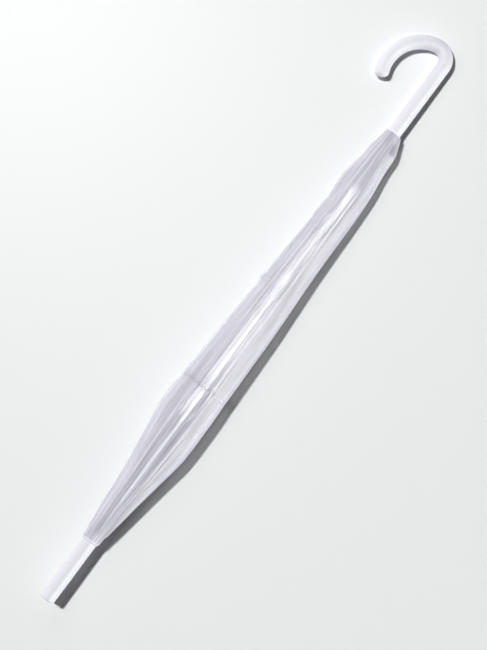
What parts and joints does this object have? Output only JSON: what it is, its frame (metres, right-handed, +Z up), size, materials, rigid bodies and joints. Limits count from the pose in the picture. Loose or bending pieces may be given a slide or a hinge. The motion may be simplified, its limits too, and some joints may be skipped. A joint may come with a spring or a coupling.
{
  "type": "clear bubble umbrella",
  "caption": "Clear film bubble umbrella, furled, with a white crook handle and ferrule; its ribs, stretchers, runner, catches and canopy open and close together.",
  "frame": {"origin": "centre of the furled umbrella's bounding box, on the surface that it lies on", "axes": "+X along the shaft from the ferrule to the handle, +Y to the side that the crook curls towards, +Z up from the surface"},
  "size_m": [0.9019, 0.1118, 0.051],
  "materials": {
    "white_plastic": "smooth milky white moulding",
    "plated_steel": "zinc plated",
    "white_steel": "white coating",
    "clear_film": "clear soft film",
    "snap_plastic": "clear moulding"
  },
  "bodies": {
    "stick": {"shaft_tube": "plated_steel", "ferrule": "white_plastic", "canopy_cap": "white_plastic", "canopy_neck": "clear_film", "crown_notch": "white_plastic", "crown_ring": "plated_steel", "runner_stop": "plated_steel", "crook_handle": "white_plastic", "handle_collar": "white_plastic"},
    "top_catch": {"top_catch": "plated_steel"},
    "low_catch": {"low_catch": "plated_steel"},
    "rib_1": {"rib_1": "white_steel"},
    "rib_end_1": {"rib_end_1": "white_steel"},
    "stretcher_1": {"stretcher_1": "white_steel"},
    "gore_upper_1": {"gore_upper_1": "clear_film"},
    "gore_lower_1": {"gore_lower_1": "clear_film"},
    "rib_2": {"rib_2": "white_steel"},
    "rib_end_2": {"rib_end_2": "white_steel"},
    "stretcher_2": {"stretcher_2": "white_steel"},
    "gore_upper_2": {"gore_upper_2": "clear_film"},
    "gore_lower_2": {"gore_lower_2": "clear_film"},
    "rib_3": {"rib_3": "white_steel"},
    "rib_end_3": {"rib_end_3": "white_steel"},
    "stretcher_3": {"stretcher_3": "white_steel"},
    "gore_upper_3": {"gore_upper_3": "clear_film"},
    "gore_lower_3": {"gore_lower_3": "clear_film"},
    "rib_4": {"rib_4": "white_steel"},
    "rib_end_4": {"rib_end_4": "white_steel"},
    "stretcher_4": {"stretcher_4": "white_steel"},
    "gore_upper_4": {"gore_upper_4": "clear_film"},
    "gore_lower_4": {"gore_lower_4": "clear_film"},
    "rib_5": {"rib_5": "white_steel"},
    "rib_end_5": {"rib_end_5": "white_steel"},
    "stretcher_5": {"stretcher_5": "white_steel"},
    "gore_upper_5": {"gore_upper_5": "clear_film"},
    "gore_lower_5": {"gore_lower_5": "clear_film"},
    "rib_6": {"rib_6": "white_steel"},
    "rib_end_6": {"rib_end_6": "white_steel"},
    "stretcher_6": {"stretcher_6": "white_steel"},
    "gore_upper_6": {"gore_upper_6": "clear_film"},
    "gore_lower_6": {"gore_lower_6": "clear_film"},
    "rib_7": {"rib_7": "white_steel"},
    "rib_end_7": {"rib_end_7": "white_steel"},
    "stretcher_7": {"stretcher_7": "white_steel"},
    "gore_upper_7": {"gore_upper_7": "clear_film"},
    "gore_lower_7": {"gore_lower_7": "clear_film"},
    "rib_8": {"rib_8": "white_steel"},
    "rib_end_8": {"rib_end_8": "white_steel"},
    "stretcher_8": {"stretcher_8": "white_steel"},
    "gore_upper_8": {"gore_upper_8": "clear_film"},
    "gore_lower_8": {"gore_lower_8": "clear_film", "closure_strap": "clear_film", "strap_snap": "snap_plastic"},
    "runner": {"runner": "white_plastic", "runner_ring": "plated_steel"}
  },
  "joints": [
    {"name": "top_catch_press", "type": "slide", "parent": "stick", "child": "top_catch", "axis": [-0.0203, 0, -0.9998], "range_m": [0, 0.0019], "stiffness_N_per_m": 300},
    {"name": "low_catch_press", "type": "slide", "parent": "stick", "child": "low_catch", "axis": [-0.0203, 0, -0.9998], "range_m": [0, 0.0019], "stiffness_N_per_m": 300},
    {"name": "rib_1_hinge", "type": "hinge", "parent": "stick", "child": "rib_1", "pos_m": [-0.34078, -0.01184, 0.02849], "axis": [0.0188, -0.3827, 0.9237], "range_deg": [0, 72]},
    {"name": "rib_2_hinge", "type": "hinge", "parent": "stick", "child": "rib_2", "pos_m": [-0.3407, -0.01607, 0.03271], "axis": [0.0078, -0.9239, 0.3826], "range_deg": [0, 72]},
    {"name": "rib_3_hinge", "type": "hinge", "parent": "stick", "child": "rib_3", "pos_m": [-0.3407, -0.02203, 0.03271], "axis": [-0.0078, -0.9239, -0.3826], "range_deg": [0, 72]},
    {"name": "rib_4_hinge", "type": "hinge", "parent": "stick", "child": "rib_4", "pos_m": [-0.34078, -0.02626, 0.02849], "axis": [-0.0188, -0.3827, -0.9237], "range_deg": [0, 72]},
    {"name": "rib_5_hinge", "type": "hinge", "parent": "stick", "child": "rib_5", "pos_m": [-0.3409, -0.02626, 0.02252], "axis": [-0.0188, 0.3827, -0.9237], "range_deg": [0, 72]},
    {"name": "rib_6_hinge", "type": "hinge", "parent": "stick", "child": "rib_6", "pos_m": [-0.34099, -0.02203, 0.0183], "axis": [-0.0078, 0.9239, -0.3826], "range_deg": [0, 72]},
    {"name": "rib_7_hinge", "type": "hinge", "parent": "stick", "child": "rib_7", "pos_m": [-0.34099, -0.01607, 0.0183], "axis": [0.0078, 0.9239, 0.3826], "range_deg": [0, 72]},
    {"name": "rib_8_hinge", "type": "hinge", "parent": "stick", "child": "rib_8", "pos_m": [-0.3409, -0.01184, 0.02252], "axis": [0.0188, 0.3827, 0.9237], "range_deg": [0, 72]},
    {"name": "stretcher_1_hinge", "type": "hinge", "parent": "rib_1", "child": "stretcher_1", "pos_m": [-0.12586, -0.0063, 0.02642], "axis": [0.0188, -0.3827, 0.9237], "range_deg": [-144.01, 0]},
    {"name": "rib_end_1_flex", "type": "hinge", "parent": "rib_1", "child": "rib_end_1", "pos_m": [-0.10075, -0.00245, 0.0275], "axis": [0.0188, -0.3827, 0.9237], "range_deg": [-43.21, 0]},
    {"name": "stretcher_2_hinge", "type": "hinge", "parent": "rib_2", "child": "stretcher_2", "pos_m": [-0.12571, -0.01377, 0.03389], "axis": [0.0078, -0.9239, 0.3826], "range_deg": [-144.01, 0]},
    {"name": "rib_end_2_flex", "type": "hinge", "parent": "rib_2", "child": "rib_end_2", "pos_m": [-0.10055, -0.01217, 0.03722], "axis": [0.0078, -0.9239, 0.3826], "range_deg": [-43.21, 0]},
    {"name": "stretcher_3_hinge", "type": "hinge", "parent": "rib_3", "child": "stretcher_3", "pos_m": [-0.12571, -0.02433, 0.03389], "axis": [-0.0078, -0.9239, -0.3826], "range_deg": [-144.01, 0]},
    {"name": "rib_end_3_flex", "type": "hinge", "parent": "rib_3", "child": "rib_end_3", "pos_m": [-0.10055, -0.02593, 0.03722], "axis": [-0.0078, -0.9239, -0.3826], "range_deg": [-43.21, 0]},
    {"name": "stretcher_4_hinge", "type": "hinge", "parent": "rib_4", "child": "stretcher_4", "pos_m": [-0.12586, -0.0318, 0.02642], "axis": [-0.0188, -0.3827, -0.9237], "range_deg": [-144.01, 0]},
    {"name": "rib_end_4_flex", "type": "hinge", "parent": "rib_4", "child": "rib_end_4", "pos_m": [-0.10075, -0.03565, 0.0275], "axis": [-0.0188, -0.3827, -0.9237], "range_deg": [-43.21, 0]},
    {"name": "stretcher_5_hinge", "type": "hinge", "parent": "rib_5", "child": "stretcher_5", "pos_m": [-0.12608, -0.0318, 0.01586], "axis": [-0.0188, 0.3827, -0.9237], "range_deg": [-144.01, 0]},
    {"name": "rib_end_5_flex", "type": "hinge", "parent": "rib_5", "child": "rib_end_5", "pos_m": [-0.10103, -0.03565, 0.01376], "axis": [-0.0188, 0.3827, -0.9237], "range_deg": [-43.21, 0]},
    {"name": "stretcher_6_hinge", "type": "hinge", "parent": "rib_6", "child": "stretcher_6", "pos_m": [-0.12623, -0.02433, 0.00839], "axis": [-0.0078, 0.9239, -0.3826], "range_deg": [-144.01, 0]},
    {"name": "rib_end_6_flex", "type": "hinge", "parent": "rib_6", "child": "rib_end_6", "pos_m": [-0.10123, -0.02593, 0.00403], "axis": [-0.0078, 0.9239, -0.3826], "range_deg": [-43.21, 0]},
    {"name": "stretcher_7_hinge", "type": "hinge", "parent": "rib_7", "child": "stretcher_7", "pos_m": [-0.12623, -0.01377, 0.00839], "axis": [0.0078, 0.9239, 0.3826], "range_deg": [-144.01, 0]},
    {"name": "rib_end_7_flex", "type": "hinge", "parent": "rib_7", "child": "rib_end_7", "pos_m": [-0.10123, -0.01217, 0.00403], "axis": [0.0078, 0.9239, 0.3826], "range_deg": [-43.21, 0]},
    {"name": "stretcher_8_hinge", "type": "hinge", "parent": "rib_8", "child": "stretcher_8", "pos_m": [-0.12608, -0.0063, 0.01586], "axis": [0.0188, 0.3827, 0.9237], "range_deg": [-144.01, 0]},
    {"name": "rib_end_8_flex", "type": "hinge", "parent": "rib_8", "child": "rib_end_8", "pos_m": [-0.10103, -0.00245, 0.01376], "axis": [0.0188, 0.3827, 0.9237], "range_deg": [-43.21, 0]},
    {"name": "runner_hinge", "type": "hinge", "parent": "stretcher_1", "child": "runner", "pos_m": [0.08896, -0.01184, 0.01975], "axis": [0.0188, -0.3827, 0.9237], "range_deg": [0, 72.01]},
    {"name": "gore_upper_1_fold", "type": "hinge", "parent": "rib_1", "child": "gore_upper_1", "pos_m": [-0.26858, 0.06133, 0.10444], "axis": [-0.5691, -0.5871, -0.5757], "range_deg": [0, 52.01]},
    {"name": "gore_lower_1_fold", "type": "hinge", "parent": "rib_end_1", "child": "gore_lower_1", "pos_m": [-0.53842, 0.05461, 0.1032], "axis": [-0.2447, -0.688, -0.6832], "range_deg": [0, 21.85]},
    {"name": "gore_upper_2_fold", "type": "hinge", "parent": "rib_2", "child": "gore_upper_2", "pos_m": [-0.26791, -0.01905, 0.13773], "axis": [-0.5741, 0, -0.8188], "range_deg": [0, 52.01]},
    {"name": "gore_lower_2_fold", "type": "hinge", "parent": "rib_end_2", "child": "gore_lower_2", "pos_m": [-0.5378, -0.01905, 0.1337], "axis": [-0.2505, 0, -0.9681], "range_deg": [0, 21.85]},
    {"name": "gore_upper_3_fold", "type": "hinge", "parent": "rib_3", "child": "gore_upper_3", "pos_m": [-0.26858, -0.09943, 0.10444], "axis": [-0.5691, 0.5871, -0.5757], "range_deg": [0, 52.01]},
    {"name": "gore_lower_3_fold", "type": "hinge", "parent": "rib_end_3", "child": "gore_lower_3", "pos_m": [-0.53842, -0.09271, 0.1032], "axis": [-0.2447, 0.688, -0.6832], "range_deg": [0, 21.85]},
    {"name": "gore_upper_4_fold", "type": "hinge", "parent": "rib_4", "child": "gore_upper_4", "pos_m": [-0.27022, -0.13273, 0.02407], "axis": [-0.5572, 0.8303, 0.0113], "range_deg": [0, 52.01]},
    {"name": "gore_lower_4_fold", "type": "hinge", "parent": "rib_end_4", "child": "gore_lower_4", "pos_m": [-0.53992, -0.12321, 0.02956], "axis": [-0.2308, 0.973, 0.0047], "range_deg": [0, 21.85]},
    {"name": "gore_upper_5_fold", "type": "hinge", "parent": "rib_5", "child": "gore_upper_5", "pos_m": [-0.27185, -0.09943, -0.0563], "axis": [-0.5453, 0.5871, 0.5983], "range_deg": [0, 52.01]},
    {"name": "gore_lower_5_fold", "type": "hinge", "parent": "rib_end_5", "child": "gore_lower_5", "pos_m": [-0.54142, -0.09271, -0.04408], "axis": [-0.2168, 0.688, 0.6926], "range_deg": [0, 21.85]},
    {"name": "gore_upper_6_fold", "type": "hinge", "parent": "rib_6", "child": "gore_upper_6", "pos_m": [-0.27253, -0.01905, -0.08959], "axis": [-0.5403, 0, 0.8415], "range_deg": [0, 52.01]},
    {"name": "gore_lower_6_fold", "type": "hinge", "parent": "rib_end_6", "child": "gore_lower_6", "pos_m": [-0.54204, -0.01905, -0.07459], "axis": [-0.211, 0, 0.9775], "range_deg": [0, 21.85]},
    {"name": "gore_upper_7_fold", "type": "hinge", "parent": "rib_7", "child": "gore_upper_7", "pos_m": [-0.27185, 0.06133, -0.0563], "axis": [-0.5453, -0.5871, 0.5983], "range_deg": [0, 52.01]},
    {"name": "gore_lower_7_fold", "type": "hinge", "parent": "rib_end_7", "child": "gore_lower_7", "pos_m": [-0.54142, 0.05461, -0.04408], "axis": [-0.2168, -0.688, 0.6926], "range_deg": [0, 21.85]},
    {"name": "gore_upper_8_fold", "type": "hinge", "parent": "rib_8", "child": "gore_upper_8", "pos_m": [-0.27022, 0.09463, 0.02407], "axis": [-0.5572, -0.8303, 0.0113], "range_deg": [0, 52.01]},
    {"name": "gore_lower_8_fold", "type": "hinge", "parent": "rib_end_8", "child": "gore_lower_8", "pos_m": [-0.53992, 0.08511, 0.02956], "axis": [-0.2308, -0.973, 0.0047], "range_deg": [0, 21.85]}
  ],
  "couplings": [
    {"joint": "rib_2_hinge", "follows": "rib_1_hinge", "ratio": 1},
    {"joint": "rib_3_hinge", "follows": "rib_1_hinge", "ratio": 1},
    {"joint": "rib_4_hinge", "follows": "rib_1_hinge", "ratio": 1},
    {"joint": "rib_5_hinge", "follows": "rib_1_hinge", "ratio": 1},
    {"joint": "rib_6_hinge", "follows": "rib_1_hinge", "ratio": 1},
    {"joint": "rib_7_hinge", "follows": "rib_1_hinge", "ratio": 1},
    {"joint": "rib_8_hinge", "follows": "rib_1_hinge", "ratio": 1},
    {"joint": "stretcher_1_hinge", "follows": "rib_1_hinge", "ratio": -2},
    {"joint": "rib_end_1_flex", "follows": "rib_1_hinge", "ratio": -0.6},
    {"joint": "stretcher_2_hinge", "follows": "rib_1_hinge", "ratio": -2},
    {"joint": "rib_end_2_flex", "follows": "rib_1_hinge", "ratio": -0.6},
    {"joint": "stretcher_3_hinge", "follows": "rib_1_hinge", "ratio": -2},
    {"joint": "rib_end_3_flex", "follows": "rib_1_hinge", "ratio": -0.6},
    {"joint": "stretcher_4_hinge", "follows": "rib_1_hinge", "ratio": -2},
    {"joint": "rib_end_4_flex", "follows": "rib_1_hinge", "ratio": -0.6},
    {"joint": "stretcher_5_hinge", "follows": "rib_1_hinge", "ratio": -2},
    {"joint": "rib_end_5_flex", "follows": "rib_1_hinge", "ratio": -0.6},
    {"joint": "stretcher_6_hinge", "follows": "rib_1_hinge", "ratio": -2},
    {"joint": "rib_end_6_flex", "follows": "rib_1_hinge", "ratio": -0.6},
    {"joint": "stretcher_7_hinge", "follows": "rib_1_hinge", "ratio": -2},
    {"joint": "rib_end_7_flex", "follows": "rib_1_hinge", "ratio": -0.6},
    {"joint": "stretcher_8_hinge", "follows": "rib_1_hinge", "ratio": -2},
    {"joint": "rib_end_8_flex", "follows": "rib_1_hinge", "ratio": -0.6},
    {"joint": "runner_hinge", "follows": "rib_1_hinge", "ratio": 1},
    {"joint": "gore_upper_1_fold", "follows": "rib_1_hinge", "ratio": 0.72217},
    {"joint": "gore_lower_1_fold", "follows": "rib_1_hinge", "ratio": 0.30339},
    {"joint": "gore_upper_2_fold", "follows": "rib_1_hinge", "ratio": 0.72217},
    {"joint": "gore_lower_2_fold", "follows": "rib_1_hinge", "ratio": 0.30339},
    {"joint": "gore_upper_3_fold", "follows": "rib_1_hinge", "ratio": 0.72217},
    {"joint": "gore_lower_3_fold", "follows": "rib_1_hinge", "ratio": 0.30339},
    {"joint": "gore_upper_4_fold", "follows": "rib_1_hinge", "ratio": 0.72217},
    {"joint": "gore_lower_4_fold", "follows": "rib_1_hinge", "ratio": 0.30339},
    {"joint": "gore_upper_5_fold", "follows": "rib_1_hinge", "ratio": 0.72217},
    {"joint": "gore_lower_5_fold", "follows": "rib_1_hinge", "ratio": 0.30339},
    {"joint": "gore_upper_6_fold", "follows": "rib_1_hinge", "ratio": 0.72217},
    {"joint": "gore_lower_6_fold", "follows": "rib_1_hinge", "ratio": 0.30339},
    {"joint": "gore_upper_7_fold", "follows": "rib_1_hinge", "ratio": 0.72217},
    {"joint": "gore_lower_7_fold", "follows": "rib_1_hinge", "ratio": 0.30339},
    {"joint": "gore_upper_8_fold", "follows": "rib_1_hinge", "ratio": 0.72217},
    {"joint": "gore_lower_8_fold", "follows": "rib_1_hinge", "ratio": 0.30339}
  ]
}
